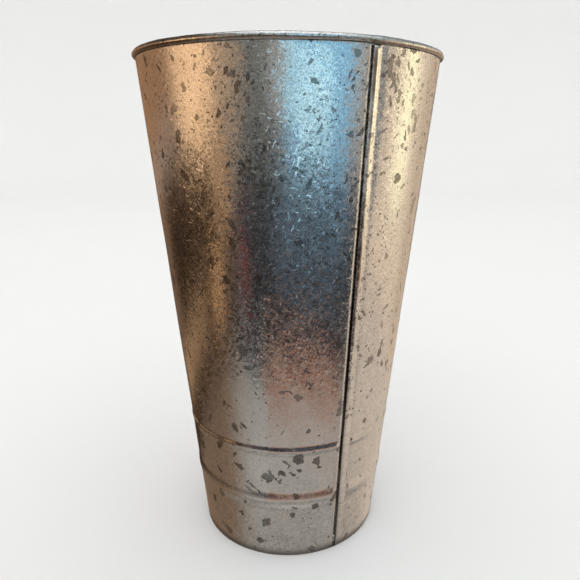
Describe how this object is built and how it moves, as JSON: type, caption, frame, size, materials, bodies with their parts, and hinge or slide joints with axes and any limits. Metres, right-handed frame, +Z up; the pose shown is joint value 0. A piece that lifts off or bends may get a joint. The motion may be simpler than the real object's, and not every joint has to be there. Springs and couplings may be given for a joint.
{
  "type": "tall galvanised bucket",
  "caption": "Tall tapered bucket of galvanised sheet steel, open at the top, with a wired curled rim, shallow beads near the foot, a folded lock seam up the side and a recessed base.",
  "frame": {"origin": "centre of the foot ring, on the floor that the bucket stands on", "axes": "+Z up along the bucket's axis, out of its mouth; the lock seam runs up the -Y side, with its shoulder towards +X"},
  "size_m": [0.2282, 0.2282, 0.368],
  "materials": {
    "galvanised_sheet": "hot-dip galvanised, worn semi-gloss with spangle and dark flecks",
    "wire": "drawn steel, dull",
    "solder": "soft solder, dull grey"
  },
  "bodies": {
    "root": {"wall_sheet": "galvanised_sheet", "base_pan": "galvanised_sheet", "rim_wire": "wire", "base_solder": "solder", "seam_solder": "solder"}
  },
  "joints": []
}
